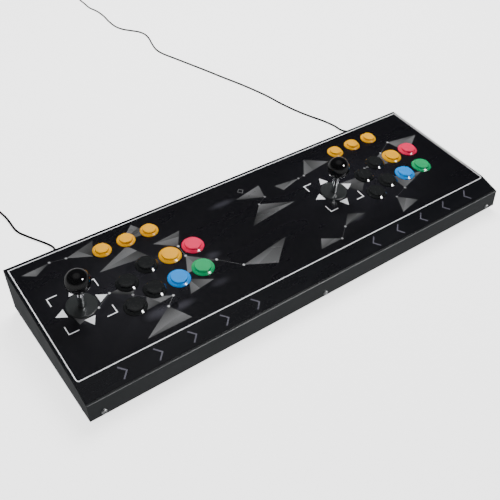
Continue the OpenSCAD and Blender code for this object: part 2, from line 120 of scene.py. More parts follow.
def revolve(bm, profile, matrix, steps):
    """Turns an outline of (radius, height) in mm about the matrix's Z axis."""
    rings = []
    for r, z in profile:
        if r < 1e-6:
            rings.append([bm.verts.new(matrix @ Vector((0, 0, z * MM)))])
            continue
        ring = []
        for i in range(steps):
            a = 2 * math.pi * i / steps
            ring.append(bm.verts.new(matrix @ Vector((r * MM * math.cos(a), r * MM * math.sin(a), z * MM))))
        rings.append(ring)
    for a, b in zip(rings, rings[1:]):
        for i in range(steps):
            j = (i + 1) % steps
            if len(a) == 1 and len(b) == 1:
                break
            if len(a) == 1:
                bm.faces.new((a[0], b[i], b[j]))
            elif len(b) == 1:
                bm.faces.new((a[i], b[0], a[j]))
            else:
                bm.faces.new((a[i], b[i], b[j], a[j]))


# ---------- leads ----------

LEAD_D = 4 * MM

# The routes repeat part.scad's, in metres.
LEFT_ROUTE = [
    (-0.288, 0.148, 0.038), (-0.288, 0.156, 0.0375), (-0.287, 0.166, 0.0355), (-0.285, 0.178, 0.031),
    (-0.282, 0.191, 0.0245), (-0.278, 0.204, 0.017), (-0.275, 0.217, 0.0095), (-0.274, 0.230, 0.004),
    (-0.277, 0.243, 0.002), (-0.283, 0.256, 0.002), (-0.290, 0.270, 0.002), (-0.296, 0.283, 0.002),
    (-0.302, 0.297, 0.002), (-0.305, 0.312, 0.002), (-0.305, 0.330, 0.002), (-0.305, 0.350, 0.002),
    (-0.307, 0.370, 0.002), (-0.311, 0.395, 0.002), (-0.316, 0.425, 0.002), (-0.321, 0.455, 0.002),
]
RIGHT_ROUTE = [
    (0.340, 0.148, 0.038), (0.340, 0.157, 0.0375), (0.340, 0.168, 0.0345), (0.340, 0.180, 0.0285),
    (0.341, 0.193, 0.0205), (0.342, 0.206, 0.0125), (0.344, 0.219, 0.007), (0.347, 0.234, 0.003),
    (0.349, 0.250, 0.002), (0.347, 0.269, 0.002), (0.343, 0.288, 0.002), (0.337, 0.309, 0.002),
    (0.331, 0.334, 0.002), (0.326, 0.363, 0.002), (0.322, 0.400, 0.002), (0.320, 0.440, 0.002),
    (0.314, 0.485, 0.002), (0.306, 0.530, 0.002), (0.295, 0.580, 0.002), (0.284, 0.635, 0.002),
    (0.272, 0.690, 0.002), (0.261, 0.740, 0.002), (0.252, 0.782, 0.002), (0.252, 0.814, 0.002),
    (0.261, 0.850, 0.002), (0.272, 0.885, 0.002), (0.277, 0.915, 0.002), (0.273, 0.940, 0.002),
    (0.260, 0.962, 0.002),
    (0.247, 0.985, 0.002), (0.241, 1.015, 0.002), (0.244, 1.060, 0.002), (0.250, 1.100, 0.002),
    (0.252, 1.145, 0.002), (0.247, 1.185, 0.002), (0.250, 1.220, 0.002), (0.252, 1.250, 0.002),
    (0.256, 1.285, 0.002), (0.260, 1.319, 0.002),
]
COIL_MID = 22 * MM
TURN_PITCH = 4.06 * MM
FIRST_LAYER = 2.9 * MM              # the lowest turns lie on the tie's strap
PLUG_Z = 4 * MM
LEADS = {
    # side: route, coil centre, turns side by side, turns in all, winding direction, last angle
    "left": (LEFT_ROUTE, (-0.352, 0.446), 4, 10, 1, 180),
    "right": (RIGHT_ROUTE, (0.288, 1.316), 2, 4, -1, 90),
}


def smooth_line(points, per_step=4):
    """Points along the smooth curve through the route."""
    line = []
    pts = [Vector(p) for p in points]
    for i in range(len(pts) - 1):
        a, b, c, d = pts[max(i - 1, 0)], pts[i], pts[i + 1], pts[min(i + 2, len(pts) - 1)]
        for k in range(per_step):
            s = k / per_step
            line.append(b + 0.5 * s * (c - a + s * (2 * a - 5 * b + 4 * c - d + s * (3 * (b - c) + d - a))))
    line.append(pts[-1])
    return line


def ease(t):
    t = min(max(t, 0.0), 1.0)
    return t * t * (3 - 2 * t)


def plug_radius(wide):
    """How far from the coil's centre the plug's tail starts."""
    return COIL_MID + wide / 2 * LEAD_D + 2.6 * MM


def coil_slot(turn, wide):
    """The column and the layer of a turn: in along the first layer, out along the next."""
    layer, k = divmod(turn, wide)
    return (wide - 1 - k if layer % 2 == 0 else k), layer


def coil_line(start, centre, wide, turns, way, last):
    """The coil's turns, from where the lead meets it to where it leaves for its plug."""
    first = math.atan2(start.y - centre[1], start.x - centre[0])
    total = turns * 2 * math.pi + (way * (math.radians(last) - first)) % (2 * math.pi)
    steps = int(total / math.radians(7.5))
    start_r = math.hypot(start.x - centre[0], start.y - centre[1])
    plug_r = plug_radius(wide)
    r_of = lambda column: COIL_MID + (column - (wide - 1) / 2) * TURN_PITCH
    line = []
    for i in range(1, steps + 1):
        a = total * i / steps
        turn = min(int(a / (2 * math.pi)), turns)
        column, layer = coil_slot(turn, wide)
        next_column, next_layer = coil_slot(min(turn + 1, turns), wide)
        move = ease((a / (2 * math.pi) - turn - 0.8) / 0.2)
        r = r_of(column) * (1 - move) + r_of(next_column) * move
        z = FIRST_LAYER + (layer * (1 - move) + next_layer * move) * TURN_PITCH
        settle = ease(a / math.radians(50))
        r = start_r + (r - start_r) * settle
        z = start.z + (z - start.z) * settle
        r += (plug_r - r) * ease((math.radians(80) - (total - a)) / math.radians(55))
        z += (PLUG_Z - z) * ease(1 - (total - a) / math.radians(38))
        b = first + way * a
        line.append(Vector((centre[0] + r * math.cos(b), centre[1] + r * math.sin(b), z)))
    return line


def lead(side):
    """One lead as a curve: route, coil and the short run into the plug."""
    route, centre, wide, turns, way, last = LEADS[side]
    line = smooth_line(route)
    line += coil_line(line[-1], centre, wide, turns, way, last)
    angle = math.radians(last)
    ahead = Vector((-math.sin(angle), math.cos(angle), 0)) * way
    line += [line[-1] + ahead * step * MM for step in (4, 8, 12)]
    curve = bpy.data.curves.new(side + "_lead", "CURVE")
    curve.dimensions = "3D"
    curve.bevel_depth = 1
    curve.bevel_resolution = 4
    spline = curve.splines.new("POLY")
    spline.points.add(len(line) - 1)
    for point, at in zip(spline.points, line):
        point.co = (*at, 1)
        point.radius = LEAD_D / 2
    spline.use_smooth = True
    return new_object(side + "_lead", curve), ahead


leads = {side: lead(side) for side in LEADS}


# ---------- materials ----------

class Paint:
    """A node material, with short calls for the nodes that this file uses."""

    def __init__(self, name):
        self.made = bpy.data.materials.new(name)
        self.made.use_nodes = True
        self.tree = self.made.node_tree
        self.shader = self.tree.nodes["Principled BSDF"]
        self.place = self.node("ShaderNodeTexCoord").outputs["Object"]

    def node(self, kind, inputs=None, **settings):
        n = self.tree.nodes.new(kind)
        for key, value in settings.items():
            setattr(n, key, value)
        for key, value in (inputs or {}).items():
            if isinstance(value, bpy.types.NodeSocket):
                self.tree.links.new(value, n.inputs[key])
            else:
                n.inputs[key].default_value = value
        return n

    def set(self, **values):
        for key, value in values.items():
            socket = self.shader.inputs[key.replace("_", " ")]
            if isinstance(value, bpy.types.NodeSocket):
                self.tree.links.new(value, socket)
            else:
                socket.default_value = value

    def noise(self, scale, detail=3, stretch=(1, 1, 1), rough=0.5):
        where = self.node("ShaderNodeMapping", {"Vector": self.place, "Scale": stretch}).outputs["Vector"]
        return self.node(
            "ShaderNodeTexNoise", {"Vector": where, "Scale": scale, "Detail": detail, "Roughness": rough}
        ).outputs["Fac"]

    def between(self, value, low, high, start=0.3, end=0.7):
        """value from start to end, spread from low to high."""
        return self.node("ShaderNodeMapRange", {
            "Value": value, "From Min": start, "From Max": end, "To Min": low, "To Max": high
        }).outputs["Result"]

    def mix(self, fac, a, b):
        n = self.node("ShaderNodeMix", data_type="RGBA")
        for key, value in ((0, fac), (6, a), (7, b)):
            if isinstance(value, bpy.types.NodeSocket):
                self.tree.links.new(value, n.inputs[key])
            else:
                n.inputs[key].default_value = value
        return n.outputs[2]

    def bump(self, height, depth, strength=1.0, under=None):
        inputs = {"Height": height, "Distance": depth, "Strength": strength}
        if under:
            inputs["Normal"] = under
        return self.node("ShaderNodeBump", inputs).outputs["Normal"]


def rgb(r, g, b):
    return (r, g, b, 1.0)


def shade(color, by):
    return tuple(min(c * by, 1) for c in color[:3]) + (1.0,)


def plain_surface(name, color, rough, grain=900, depth=0.00003, **extra):
    """A surface with broad tint and roughness changes and a fine grain in its bump."""
    p = Paint(name)
    wide = p.noise(14, 4)
    fine = p.noise(grain, 2)
    p.set(
        Base_Color=p.mix(p.between(wide, 0, 1), shade(color, 0.85), shade(color, 1.15)),
        Roughness=p.between(p.noise(98, 5), rough - 0.08, rough + 0.08),
        Normal=p.bump(fine, depth),
        **extra,
    )
    return p.made


def powder_coat(name, color, rough=0.42):
    """Baked powder paint: a fine orange peel, soft smears and slightly rubbed high spots."""
    p = Paint(name)
    peel = p.noise(620, 3, rough=0.6)
    speck = p.noise(2600, 1)
    smear = p.noise(9, 6, stretch=(1, 2.5, 2.5))
    tone = p.mix(p.between(smear, 0, 1), shade(color, 0.86), shade(color, 1.16))
    tone = p.mix(p.between(speck, 0, 0.35, 0.62, 0.75), tone, shade(color, 1.9))
    under = p.bump(p.noise(70, 2), 0.00006, 0.5)
    p.set(
        Base_Color=tone,
        Roughness=p.between(smear, rough - 0.07, rough + 0.09),
        Normal=p.bump(peel, 0.00007, 0.9, under),
    )
    return p.made


def moulded(name, color, rough=0.2, coat=0.0, glow=0.0, shine=0.5):
    """Injection-moulded plastic: a nearly even colour, faint flow marks, tiny scuffs."""
    p = Paint(name)
    flow = p.noise(38, 3)
    scuff = p.noise(520, 4, stretch=(1, 6, 1), rough=0.7)
    p.set(
        Base_Color=p.mix(p.between(flow, 0, 1), shade(color, 0.95), shade(color, 1.05)),
        Roughness=p.between(scuff, rough * 0.7, rough * 1.5, 0.35, 0.75),
        Normal=p.bump(flow, 0.00006, 0.25, p.bump(scuff, 0.000004, 0.4)),
        Specular_IOR_Level=shine,
        Coat_Weight=coat,
        Coat_Roughness=0.06,
        Subsurface_Weight=glow,
        Subsurface_Radius=(0.002, 0.0012, 0.0008),
        Subsurface_Scale=0.6,
    )
    return p.made


def button_plastic(name, color):
    """The coloured buttons' slightly see-through plastic."""
    return moulded(name, color, glow=0.05, coat=0.1, shine=0.35)


def turned_metal(name, color, rough, stretch=(1, 1, 30), scale=300):
    """Metal with fine marks that run one way."""
    p = Paint(name)
    marks = p.noise(scale, 4, stretch=stretch, rough=0.65)
    cloud = p.noise(45, 3)
    p.set(
        Base_Color=p.mix(p.between(cloud, 0, 1), shade(color, 0.9), shade(color, 1.06)),
        Metallic=1.0,
        Roughness=p.between(marks, rough, rough + 0.14),
        Normal=p.bump(marks, 0.00001, 0.6),
    )
    return p.made


def overlay_sheet():
    """Satin polycarbonate with a fine velvet texture and a few wiped smears."""
    p = Paint("overlay_sheet")
    velvet = p.noise(1500, 2)
    wipe = p.noise(6, 7, stretch=(1, 3, 3), rough=0.6)
    p.set(
        Base_Color=p.mix(p.between(wipe, 0, 1), rgb(0.0042, 0.0044, 0.0060), rgb(0.0058, 0.0061, 0.0080)),
        Roughness=p.between(wipe, 0.24, 0.34),
        Specular_IOR_Level=0.4,
        Normal=p.bump(velvet, 0.00002, 0.6),
    )
    return p.made


def ink_and_painted_highlight():
    """Screen-printed ink, and the painted highlight along the fold: its colour is painted on the mesh, under the
    same satin texture.
    """
    p = Paint("ink_and_painted_highlight")
    ink = p.node("ShaderNodeVertexColor", layer_name="ink").outputs["Color"]
    tooth = p.noise(900, 3)
    faded = p.node("ShaderNodeHueSaturation", {"Color": ink, "Value": p.between(tooth, 0.9, 1.08)})
    p.set(
        Base_Color=faded.outputs["Color"],
        Roughness=p.between(p.noise(6, 7, stretch=(1, 3, 3)), 0.24, 0.34),
        Specular_IOR_Level=0.4,
        Normal=p.bump(p.noise(1500, 2), 0.00002, 0.6),
    )
    return p.made


def strap_fabric():
    """Woven hook-and-loop strap."""
    p = Paint("strap_fabric")
    weave = p.node("ShaderNodeTexVoronoi", {"Vector": p.place, "Scale": 1400}).outputs["Distance"]
    p.set(
        Base_Color=p.mix(p.between(weave, 0, 1, 0.1, 0.6), rgb(0.012, 0.012, 0.013), rgb(0.05, 0.05, 0.053)),
        Roughness=0.9,
        Sheen_Weight=0.3,
        Normal=p.bump(weave, 0.0003, 1.0),
    )
    return p.made


def circuit_board():
    """Green solder mask over copper tracks."""
    p = Paint("circuit_board")
    cells = p.node("ShaderNodeTexVoronoi", {"Vector": p.place, "Scale": 260}, distance="CHEBYCHEV")
    tracks = cells.outputs["Distance"]
    p.set(
        Base_Color=p.mix(p.between(tracks, 0, 1, 0.35, 0.4), rgb(0.01, 0.09, 0.035), rgb(0.02, 0.17, 0.06)),
        Roughness=p.between(tracks, 0.28, 0.4, 0.3, 0.5),
        Normal=p.bump(tracks, 0.00004, 0.6),
    )
    return p.made


MATERIAL = {
    "case_paint": powder_coat("case_paint", rgb(0.011, 0.0127, 0.0140)),
    "base_paint": powder_coat("base_paint", rgb(0.007, 0.008, 0.0085), 0.5),
    "overlay": overlay_sheet(),
    "screw_steel": turned_metal("screw_steel", rgb(0.74, 0.75, 0.76), 0.2, stretch=(1, 1, 1), scale=700),
    "foot_rubber": plain_surface("foot_rubber", rgb(0.02, 0.02, 0.02), 0.78, grain=1600, depth=0.00006),
    "yellow": button_plastic("yellow", rgb(1.0, 0.45, 0.0)),
    "black": moulded("black", rgb(0.0150, 0.016, 0.0165), rough=0.10, coat=0.3),
    "red": button_plastic("red", rgb(0.95, 0.020, 0.105)),
    "blue": button_plastic("blue", rgb(0.002, 0.28, 0.85)),
    "green": button_plastic("green", rgb(0.008, 0.38, 0.13)),
    "ball_plastic": moulded("ball_plastic", rgb(0.0045, 0.0045, 0.005), rough=0.05, coat=0.3),
    "shaft_chrome": turned_metal("shaft_chrome", rgb(0.82, 0.83, 0.85), 0.08, stretch=(6, 6, 60), scale=120),
    "acetal_white": moulded("acetal_white", rgb(0.72, 0.71, 0.66), rough=0.4),
    "washer_plastic": plain_surface("washer_plastic", rgb(0.021, 0.0235, 0.024), 0.42, grain=1100),
    "plate_zinc": turned_metal("plate_zinc", rgb(0.55, 0.56, 0.57), 0.3, stretch=(30, 1, 1), scale=60),
    "frame_plastic": plain_surface("frame_plastic", rgb(0.018, 0.018, 0.019), 0.5, grain=700, depth=0.00005),
    "spring_steel": turned_metal("spring_steel", rgb(0.45, 0.45, 0.46), 0.25),
    "board": circuit_board(),
    "switch_plastic": plain_surface("switch_plastic", rgb(0.02, 0.02, 0.022), 0.45, grain=800),
    "wire_jacket": plain_surface("wire_jacket", rgb(0.014, 0.014, 0.015), 0.5, grain=500, depth=0.0001),
    "lead_jacket": plain_surface(
        "lead_jacket", rgb(0.006, 0.006, 0.0065), 0.5, grain=900, depth=0.00004, Specular_IOR_Level=0.2
    ),
    "plug_plastic": plain_surface("plug_plastic", rgb(0.014, 0.014, 0.015), 0.5, grain=1300, depth=0.00005),
}
INK_AND_HIGHLIGHT = ink_and_painted_highlight()
STRAP = strap_fabric()
TONGUE = turned_metal("plug_steel", rgb(0.7, 0.7, 0.71), 0.22, stretch=(1, 20, 1), scale=90)
SLOT_OF = {p["node"]: p["material_slot"] for p in frame["record"]["subparts"]}


def finish_with(o, slot, made=None):
    """Gives a piece its material: the slot's own, unless another is given."""
    o.data.materials.clear()
    o.data.materials.append(made or MATERIAL[slot])


# ---------- CAD nodes: material, smooth curves and rounded edges ----------

ROUND = {
    "case_shell": 0.35, "base_plate": 0.25, "panel_overlay": 0.12, "machine_screws": 0.12,
    "rubber_feet": 0.3,
}


def soften(o, width):
    bevel = o.modifiers.new("rounded_edges", "BEVEL")
    bevel.width = width * MM
    bevel.segments = 2
    bevel.limit_method = "ANGLE"
    bevel.angle_limit = math.radians(30)
    bevel.harden_normals = False


for name, o in frame["nodes"].items():
    o.data.materials.clear()
    o.data.materials.append(MATERIAL[SLOT_OF[name]])
    o.data.shade_smooth()
    button = "housings" in name and name != "stick_housings" or "plunger" in name
    o.data.set_sharp_from_angle(angle=math.radians(41 if button else 28))
    if name in ROUND:
        soften(o, ROUND[name])
    elif button:
        soften(o, 0.22)
    elif name.endswith("dust_washer"):
        soften(o, 0.2)


# ---------- printed artwork, and a painted highlight along the fold ---

STICK_V = 102                       # the sticks' distance from the crease
PANEL_LEN = math.hypot(217, 31)     # from the crease to the back edge
HALF_W = 372                        # where the printed area ends, each side
BEVEL = Vector((0, 33, 12.5)).normalized()
BEVEL_LEN = 35.29                   # from the crease down to the fold
FOLD_INSET = 0.32                   # how far the fold's round face lies inside its sharp corner
BEVEL_OUT = RIGHT.cross(BEVEL)
STICK_X = {p: foot_point(p).x / MM for p in PLAYERS}
CREASE = on_panel("p1", -STICK_X["p1"], -STICK_V)
HOLES = [(STICK_X[p] + u, STICK_V + v, 15.6) for p in PLAYERS for u, v in BIG]
HOLES += [(STICK_X[p] + u, STICK_V + v, 12.6) for p in PLAYERS for u, v in MENU]
HOLES += [(STICK_X[p], STICK_V, 10.6) for p in PLAYERS]


def deck(x, v, h):
    """A point on the panel: x from the middle, v up from the crease, h above the overlay, in mm."""
    return CREASE + (RIGHT * x + UP * v + OUT * (OVERLAY + h)) * MM


def on_bevel(x, w, h):
    """A point on the bevel: w down from the crease, in mm."""
    return CREASE + (RIGHT * x - BEVEL * w + BEVEL_OUT * (OVERLAY + h)) * MM


def on_fold(x, s, h):
    """A point on the fold under the bevel: s down round the fold, in mm."""
    across = (BEVEL_OUT + Vector((0, -1, 0))).normalized()
    down = across.cross(RIGHT)
    corner_at = on_bevel(x, BEVEL_LEN, -OVERLAY)
    return corner_at + (across * (h - FOLD_INSET) + down * s) * MM


def bent(x, v, h):
    """A point on the panel, or past the crease on the bevel."""
    return deck(x, v, h) if v >= 0 else on_bevel(x, -v, h)


NEUTRAL = (1, 1.01, 1.04)           # plain ink
VIOLET = (1, 0.98, 1.22)            # the chevrons' ink
COOL = (1, 0.98, 1.28)              # the dark ground's ink
GROUND = 0.0050                     # the dark ground's grey
THREAD_GREY = 0.12

# Heights of the ink layers above the overlay, in mm, so that none lies in another.
ON_GROUND, ON_CLOUDS, ON_SHARDS, ON_THREADS = 0.02, 0.03, 0.045, 0.06
ON_KNOTS, ON_CORES, ON_TOP = 0.075, 0.085, 0.10


class Print:
    """Flat shapes of ink, and of painted highlight, on one mesh, each corner with its own grey."""

    def __init__(self):
        self.bm = bmesh.new()
        self.ink = self.bm.loops.layers.float_color.new("ink")

    def face(self, corners, greys, tint=NEUTRAL):
        verts = [self.bm.verts.new(c) for c in corners]
        f = self.bm.faces.new(verts)
        if not isinstance(greys, (list, tuple)):
            greys = [greys] * len(verts)
        for loop, g in zip(f.loops, greys):
            loop[self.ink] = (*(g * t for t in tint), 1)

    def line(self, a, b, width, grey, h):
        d = (b - a).normalized() * width / 2
        side = Vector((-d.y, d.x))
        self.face([deck(p.x, p.y, h) for p in (a - side, b - side, b + side, a + side)], grey)

    def dot(self, at, r, grey, h):
        turns = [a * math.pi / 8 for a in range(16)]
        self.face([deck(at[0] + r * math.cos(a), at[1] + r * math.sin(a), h) for a in turns], grey)

    def path(self, points, width, grey, h, place=deck, closed=False, tint=NEUTRAL):
        """A mitred band along points."""
        pts = [Vector(p) for p in points]
        n = len(pts)
        sides = []
        for i, p in enumerate(pts):
            back = (p - pts[i - 1]).normalized() if closed or i else (pts[1] - p).normalized()
            ahead = (pts[(i + 1) % n] - p).normalized() if closed or i < n - 1 else back
            mid = (back + ahead).normalized()
            across = Vector((-mid.y, mid.x))
            sides.append(across * width / 2 / max(mid.dot(ahead), 0.4))
        for i in range(n if closed else n - 1):
            j = (i + 1) % n
            ring = [pts[i] - sides[i], pts[j] - sides[j], pts[j] + sides[j], pts[i] + sides[i]]
            self.face([place(p.x, p.y, h) for p in ring], grey, tint)

    def done(self, name):
        for f in self.bm.faces:
            f.normal_update()
            if f.normal.dot(OUT) < 0:
                f.normal_flip()
        mesh = bpy.data.meshes.new(name)
        self.bm.to_mesh(mesh)
        self.bm.free()
        mesh.attributes.active_color = mesh.color_attributes["ink"]
        o = new_object(name, mesh)
        finish_with(o, "overlay", INK_AND_HIGHLIGHT)
        return o


def in_hole(x, v):
    return any((x - a) ** 2 + (v - b) ** 2 < r * r for a, b, r in HOLES)


def clear_stretches(a, b):
    """The parts of the straight line from a to b that lie outside every hole."""
    cuts = [0.0, 1.0]
    a, b = Vector(a), Vector(b)
    d = b - a
    for x, v, r in HOLES:
        m = a - Vector((x, v))
        q, w, c = d.dot(d), 2 * m.dot(d), m.dot(m) - r * r
        disc = w * w - 4 * q * c
        if disc > 0:
            cuts += [t for t in ((-w - math.sqrt(disc)) / 2 / q, (-w + math.sqrt(disc)) / 2 / q) if 0 < t < 1]
    cuts.sort()
    for s, t in zip(cuts, cuts[1:]):
        middle = a + d * (s + t) / 2
        if t - s > 0.01 and not in_hole(*middle):
            yield a + d * s, a + d * t


def triangles_clear_of_holes(outline, extra=()):
    """Splits an outline, with extra points inside it, into triangles that leave the holes open."""
    verts = [Vector(p) for p in outline]
    edges = [(i, (i + 1) % len(verts)) for i in range(len(verts))]
    verts += [Vector(p) for p in extra]
    low = [min(p[i] for p in outline) for i in (0, 1)]
    high = [max(p[i] for p in outline) for i in (0, 1)]
    for x, v, r in HOLES:
        if x + r < low[0] or x - r > high[0] or v + r < low[1] or v - r > high[1]:
            continue
        first = len(verts)
        turns = [k * math.pi / 12 for k in range(24)]
        verts += [Vector((x + r * math.cos(a), v + r * math.sin(a))) for a in turns]
        edges += [(first + k, first + (k + 1) % 24) for k in range(24)]
    points, _, faces, _, _, _ = delaunay_2d_cdt(verts, edges, [], 0, 1e-5)
    n = len(outline)
    sides = [(outline[(i + 1) % n], outline[i]) for i in range(n)]
    area = sum(p[0] * q[1] - q[0] * p[1] for q, p in sides)
    for f in faces:
        middle = sum((points[i] for i in f), Vector((0, 0))) / len(f)
        inside = all(
            ((p[0] - q[0]) * (middle.y - q[1]) - (p[1] - q[1]) * (middle.x - q[0])) * area > 0
            for p, q in sides
        )
        if inside and not in_hole(*middle):
            yield [points[i] for i in f]


def glow_at(x, v):
    """How light the smoky ground is: lighter around each player's controls."""
    grey = 0.0
    for p in PLAYERS:
        du, dv = x - STICK_X[p], v - STICK_V
        grey += 0.007 * math.exp(-(((du - 60) / 95) ** 2 + ((dv + 8) / 62) ** 2))
    return grey


def cloud(art, x, v, half_w, half_h, grey):
    """A soft lighter patch that fades out to the ground's tone."""
    rings = [(0.0, grey), (0.35, grey * 0.8), (0.7, grey * 0.3), (1.0, 0.0)]

    def at(k, part):
        turn = k * math.pi / 12
        return deck(x + half_w * part * math.cos(turn), v + half_h * part * math.sin(turn), ON_CLOUDS)

    for (near, a), (far, b) in zip(rings, rings[1:]):
        for k in range(24):
            corners = [at(k, near), at(k, far), at(k + 1, far), at(k + 1, near)]
            tones = [GROUND + a, GROUND + b, GROUND + b, GROUND + a]
            if near == 0:
                corners, tones = corners[:3], tones[:3]
            art.face(corners, tones, COOL)


def shard(art, corners, greys):
    """One gradient triangle of the artwork, open at the holes."""
    a, b, c = (Vector(p) for p in corners)
    whole = (b - a).cross(c - a)
    for face in triangles_clear_of_holes(corners):
        tones = []
        for p in face:
            wa, wb = (b - p).cross(c - p) / whole, (c - p).cross(a - p) / whole
            tones.append(max(wa * greys[0] + wb * greys[1] + (1 - wa - wb) * greys[2], 0.0))
        art.face([deck(p.x, p.y, ON_SHARDS) for p in face], tones)


def ground(art):
    """Facets of slightly different dark greys, on jittered points."""
    spread = random.Random(7)
    points = []
    for i in range(17):
        for j in range(5):
            x = -HALF_W + (i + 0.5 + spread.uniform(-0.32, 0.32)) * 2 * HALF_W / 17
            v = 4 + (j + 0.5 + spread.uniform(-0.32, 0.32)) * (PANEL_LEN - 10) / 5
            points.append((x, v))
    x, front, back = HALF_W - 1, 1.6, PANEL_LEN - 6.5
    edge = [(-x, front), (x, front), (x, back), (-x, back)]
    for face in triangles_clear_of_holes(edge, points):
        facet = spread.uniform(0.55, 1.25)
        tones = [GROUND + glow_at(p.x, p.y) * facet for p in face]
        art.face([deck(p.x, p.y, ON_GROUND) for p in face], tones, COOL)


def scattered_triangles(deal):
    """Triangles (three corners each) at random places, none over another or past the print."""
    found = []
    for _ in range(150):
        size, turn = deal.uniform(16, 36), deal.uniform(0, 2 * math.pi)
        x, v = deal.uniform(-HALF_W, HALF_W), deal.uniform(0, PANEL_LEN)
        angles = [turn + k * 2 * math.pi / 3 + deal.uniform(-0.45, 0.45) for k in range(3)]
        corners = [(x + 1.3 * size * math.cos(a), v + 0.7 * size * math.sin(a)) for a in angles]
        inside = all(abs(p[0]) < HALF_W - 8 and 6 < p[1] < PANEL_LEN - 14 for p in corners)
        apart = all(abs(x - c) > 1.3 * (size + r) or abs(v - d) > 0.7 * (size + r) for c, d, r, _ in found)
        if inside and apart:
            found.append((x, v, size, corners))
    return [corners for _, _, _, corners in found]


def knot(art, at):
    """A light dot with a bright core, unless a control covers its place."""
    if all(math.dist(at, (x, v)) > r + 2.5 for x, v, r in HOLES):
        art.dot(at, 2.2, 0.22, ON_KNOTS)
        art.dot(at, 1.2, 0.62, ON_CORES)


def low_poly(art):
    """A generic pattern: two-tone triangles, each joined by a thread to its nearest neighbour."""
    deal = random.Random(29)
    triangles = scattered_triangles(deal)
    for a, b, c in triangles:
        part = deal.uniform(0.35, 0.65)
        split = (b[0] + (c[0] - b[0]) * part, b[1] + (c[1] - b[1]) * part)
        for facet in ((a, b, split), (a, split, c)):
            shard(art, facet, [deal.uniform(0.015, 0.13) for _ in range(3)])
    for corners in triangles:
        others = [q for t in triangles if t is not corners for q in t]
        start, end = min(((p, q) for p in corners for q in others), key=lambda pair: math.dist(*pair))
        for near, far in clear_stretches(start, end):
            art.line(near, far, 0.5, THREAD_GREY, ON_THREADS)
        knot(art, start)
        knot(art, end)
    for _ in range(8):
        x, v = deal.uniform(60 - HALF_W, HALF_W - 60), deal.uniform(24, PANEL_LEN - 36)
        cloud(art, x, v, deal.uniform(16, 30), deal.uniform(7, 13), deal.uniform(0.008, 0.028))


def marks(art):
    """Everything in clear white: the border, and the arrows and brackets round each stick."""
    white = 0.96
    x, front, back, r = HALF_W - 1.8, -2.3, PANEL_LEN - 8, 3.5
    turn = [(math.cos(a * math.pi / 20), math.sin(a * math.pi / 20)) for a in range(11)]
    loop = [(-x + r - r * c, front + r - r * s) for c, s in turn]
    loop += [(x - r + r * s, front + r - r * c) for c, s in turn]
    loop += [(x, back), (-x, back)]
    art.path(loop, 1.4, white, ON_TOP, place=bent, closed=True)
    for player in PLAYERS:
        for k in range(4):
            a = k * math.pi / 2
            ahead, aside = Vector((math.cos(a), math.sin(a))), Vector((-math.sin(a), math.cos(a)))
            here = Vector((STICK_X[player], STICK_V))
            tip = [here + ahead * 37.6, here + ahead * 23.6 + aside * 7.9, here + ahead * 23.6 - aside * 7.9]
            art.face([deck(p.x, p.y, ON_TOP) for p in tip], white)
            bend = here + (ahead + aside) * 34.4
            art.path([bend - ahead * 14.5, bend, bend - aside * 14.5], 1.5, white, ON_TOP)
    art.path([(-5.2, 181), (0, 186.2), (5.2, 181), (0, 175.8)], 0.9, 0.12, ON_TOP, closed=True)


def painted_fold_highlight(art):
    """Painted highlight: a thin light band along the fold under the bevel, standing in for the key light's glint
    on the rounded fold.
    """
    highlight_jitter = random.Random(3)
    count, reach, half = 60, 373.5, 0.35
    # the painted highlight's grey, a little uneven along the fold
    tones = [0.17 + highlight_jitter.uniform(-0.045, 0.045) for _ in range(count + 1)]
    for k in range(count):
        a, b = (-reach + 2 * reach * i / count for i in (k, k + 1))
        ring = [on_fold(x, s, 0.05) for x, s in ((a, -half), (b, -half), (b, half), (a, half))]
        art.face(ring, [tones[k], tones[k + 1], tones[k + 1], tones[k]])


def chevrons(art):
    for side in (-1, 1):
        for k in range(5):
            tip = side * (107 + 51 * k)
            tail = tip + side * 8.5
            points = [(tail, 8.4), (tip, 17.4), (tail, 26.4)]
            art.path(points, 2.0, 0.115, ON_TOP, place=on_bevel, tint=VIOLET)


art = Print()
ground(art)
low_poly(art)
art.done("panel_artwork")
# white print and chevrons, and a painted highlight along the fold, on one mesh
marks_and_fold_highlight = Print()
marks(marks_and_fold_highlight)
chevrons(marks_and_fold_highlight)
# painted highlight along the fold
painted_fold_highlight(marks_and_fold_highlight)
marks_and_fold_highlight.done("panel_marks_and_fold_highlight")


# ---------- strain reliefs, plugs and ties ----------

RELIEF_LENGTH = 23


def relief_profile():
    """Tapered rubber relief: two flanges, a waist in the wall and a ringed tail."""
    outline = [(0, -4.5), (6.2, -4.5), (6.5, -4.2), (6.5, -1.5), (4.95, -1.5), (4.95, 0), (6.5, 0),
               (6.5, 2.1), (6.1, 2.5), (4.9, 2.6)]
    for k in range(6):
        start = 3.2 + k * 3.1
        r = 4.6 - 0.24 * k
        outline += [(r, start), (r, start + 1.9), (r - 0.75, start + 2.2), (r - 0.85, start + 2.9)]
    return outline + [(3.1, 22.4), (2.8, RELIEF_LENGTH), (0, RELIEF_LENGTH)]


def relief(side):
    bm = bmesh.new()
    start = Vector(LEADS[side][0][0]) - Vector((0, RELIEF_LENGTH * MM, 0))
    m = Matrix.Translation(start) @ Matrix.Rotation(math.radians(-90), 4, "X")
    revolve(bm, relief_profile(), m, steps=48)
    o = from_bmesh(side + "_relief", bm, smooth_deg=40)
    finish_with(o, "lead_jacket", MATERIAL["foot_rubber"])
    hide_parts("cord_reliefs")
    return o


def rounded_section(half_w, half_h, power, steps=40):
    out = []
    for i in range(steps):
        c, s = math.cos(2 * math.pi * i / steps), math.sin(2 * math.pi * i / steps)
        bend = lambda q: math.copysign(abs(q) ** (2 / power), q)
        out.append((half_w * bend(c), half_h * bend(s)))
    return out


